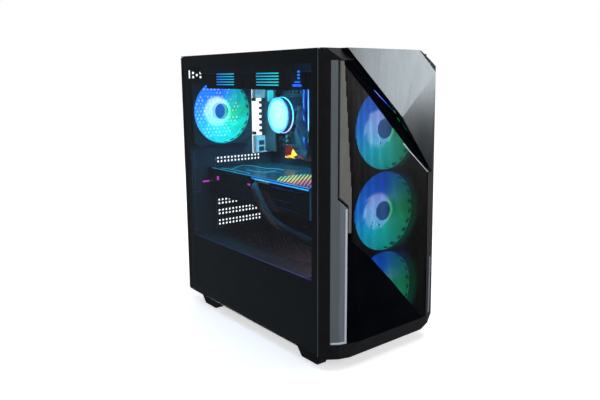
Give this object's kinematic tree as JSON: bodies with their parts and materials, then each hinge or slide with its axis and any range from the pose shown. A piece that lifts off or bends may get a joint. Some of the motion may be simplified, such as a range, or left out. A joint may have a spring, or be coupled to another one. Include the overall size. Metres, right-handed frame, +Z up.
{
  "type": "desktop computer tower",
  "caption": "Black mid-size computer tower with a hinged smoked-glass side, a faceted front panel with diagonal gloss band, lit fans, liquid cooler and graphics card.",
  "frame": {"origin": "middle of the footprint on the floor, under the feet", "axes": "+Z up; the front panel faces -Y and the rear panel +Y; the glass door is at -X"},
  "size_m": [0.224, 0.4216, 0.452],
  "materials": {
    "painted_steel": "fine textured black powder coat",
    "smoked_glass": "polished smoked tempered glass with a printed black border",
    "matte_black": "fine spark texture, charcoal black",
    "gloss_black": "piano black",
    "silver_trim": "brushed, cool grey",
    "dark_mesh": "fine vertical louvres, satin dark grey",
    "pale_mesh": "fine vertical louvres, satin warm grey",
    "filter_mesh": "woven nylon dust mesh in a moulded frame",
    "fan_black": "moulded black",
    "lit_blade": "frosted translucent, lit from the hub",
    "lit_diffuser": "frosted light diffuser",
    "foot_rubber": "matte",
    "hose_rubber": "braided black sleeve over rubber",
    "braided_sleeve": "braided black sleeve",
    "fin_aluminium": "black anodised fins",
    "circuit_board": "black solder mask",
    "bright_steel": "nickel plated"
  },
  "bodies": {
    "chassis": {"bottom_plate": "painted_steel", "top_plate": "painted_steel", "rear_panel": "painted_steel", "front_wall": "painted_steel", "motherboard_tray": "painted_steel", "psu_shroud": "painted_steel", "psu_case": "painted_steel", "drive_cage": "painted_steel", "io_block": "matte_black", "psu_power_inlet": "matte_black", "io_cover": "matte_black", "pump_body": "matte_black", "gpu_backplate": "matte_black", "gpu_cooler": "gloss_black", "front_fan_frame_1": "fan_black", "front_fan_frame_2": "fan_black", "front_fan_frame_3": "fan_black", "rear_fan_frame": "fan_black", "top_fan_frame_1": "fan_black", "top_fan_frame_2": "fan_black", "pump_cap": "lit_diffuser", "memory_module": "lit_diffuser", "foot_front_left": "foot_rubber", "foot_rear_left": "foot_rubber", "foot_front_right": "foot_rubber", "foot_rear_right": "foot_rubber", "coolant_hose_1": "hose_rubber", "coolant_hose_2": "hose_rubber", "gpu_power_cable": "braided_sleeve", "radiator": "fin_aluminium", "vrm_heatsink": "fin_aluminium", "m2_heatsink": "fin_aluminium", "motherboard": "circuit_board", "hinge_pin_lower": "bright_steel", "hinge_pin_upper": "bright_steel", "gpu_bracket": "bright_steel"},
    "glass_door": {"glass_pane": "smoked_glass", "door_rail": "painted_steel"},
    "right_side": {"right_panel": "painted_steel"},
    "front_panel": {"front_frame": "matte_black", "left_trim": "silver_trim", "pale_mesh_strip": "pale_mesh", "front_mesh": "dark_mesh", "gloss_band": "gloss_black", "corner_panel": "gloss_black", "lower_panel": "gloss_black"},
    "top_filter": {"top_dust_filter": "filter_mesh"},
    "bottom_filter": {"psu_filter": "filter_mesh"},
    "power_key": {"power_button": "gloss_black"},
    "reset_key": {"reset_button": "matte_black"},
    "psu_rocker": {"psu_switch": "matte_black"},
    "front_fan_1_rotor": {"front_impeller_1": "lit_blade"},
    "front_fan_2_rotor": {"front_impeller_2": "lit_blade"},
    "front_fan_3_rotor": {"front_impeller_3": "lit_blade"},
    "rear_fan_rotor": {"rear_impeller": "lit_blade"},
    "top_fan_1_rotor": {"top_impeller_1": "lit_blade"},
    "top_fan_2_rotor": {"top_impeller_2": "lit_blade"},
    "gpu_fan_1_rotor": {"gpu_impeller_1": "fan_black"},
    "gpu_fan_2_rotor": {"gpu_impeller_2": "fan_black"},
    "psu_fan_rotor": {"psu_impeller": "fan_black"}
  },
  "joints": [
    {"name": "glass_door_hinge", "type": "hinge", "parent": "chassis", "child": "glass_door", "pos_m": [-0.1087, 0.2075, 0.235], "axis": [0, 0, -1], "range_deg": [0, 100]},
    {"name": "right_panel_slide", "type": "slide", "parent": "chassis", "child": "right_side", "axis": [0, 1, 0], "range_m": [0, 0.02]},
    {"name": "front_panel_pull", "type": "slide", "parent": "chassis", "child": "front_panel", "axis": [0, -1, 0], "range_m": [0, 0.03]},
    {"name": "top_filter_lift", "type": "slide", "parent": "chassis", "child": "top_filter", "axis": [0, 0, 1], "range_m": [0, 0.03]},
    {"name": "bottom_filter_slide", "type": "slide", "parent": "chassis", "child": "bottom_filter", "axis": [0, 1, 0], "range_m": [0, 0.15]},
    {"name": "power_key_press", "type": "slide", "parent": "chassis", "child": "power_key", "axis": [0, 0, -1], "range_m": [0, 0.0015], "stiffness_N_per_m": 400, "springref_m": -0.001},
    {"name": "reset_key_press", "type": "slide", "parent": "chassis", "child": "reset_key", "axis": [0, 0, -1], "range_m": [0, 0.0015], "stiffness_N_per_m": 400, "springref_m": -0.001},
    {"name": "psu_switch_rock", "type": "hinge", "parent": "chassis", "child": "psu_rocker", "pos_m": [-0.025, 0.2046, 0.089], "axis": [-1, 0, 0], "range_deg": [0, 18]},
    {"name": "front_fan_1_spin", "type": "hinge", "parent": "chassis", "child": "front_fan_1_rotor", "pos_m": [0, -0.1825, 0.101], "axis": [0, 1, 0], "continuous": true},
    {"name": "front_fan_2_spin", "type": "hinge", "parent": "chassis", "child": "front_fan_2_rotor", "pos_m": [0, -0.1825, 0.221], "axis": [0, 1, 0], "continuous": true},
    {"name": "front_fan_3_spin", "type": "hinge", "parent": "chassis", "child": "front_fan_3_rotor", "pos_m": [0, -0.1825, 0.341], "axis": [0, 1, 0], "continuous": true},
    {"name": "rear_fan_spin", "type": "hinge", "parent": "chassis", "child": "rear_fan_rotor", "pos_m": [-0.044, 0.1932, 0.353], "axis": [0, 1, 0], "continuous": true},
    {"name": "top_fan_1_spin", "type": "hinge", "parent": "chassis", "child": "top_fan_1_rotor", "pos_m": [-0.036, -0.032, 0.4079], "axis": [0, 0, 1], "continuous": true},
    {"name": "top_fan_2_spin", "type": "hinge", "parent": "chassis", "child": "top_fan_2_rotor", "pos_m": [-0.036, 0.09, 0.4079], "axis": [0, 0, 1], "continuous": true},
    {"name": "gpu_fan_1_spin", "type": "hinge", "parent": "chassis", "child": "gpu_fan_1_rotor", "pos_m": [0.0009, -0.0483, 0.206], "axis": [0, 0, 1], "continuous": true},
    {"name": "gpu_fan_2_spin", "type": "hinge", "parent": "chassis", "child": "gpu_fan_2_rotor", "pos_m": [0.0009, 0.0537, 0.206], "axis": [0, 0, 1], "continuous": true},
    {"name": "psu_fan_spin", "type": "hinge", "parent": "chassis", "child": "psu_fan_rotor", "pos_m": [-0.012, 0.1257, 0.038], "axis": [0, 0, 1], "continuous": true}
  ]
}
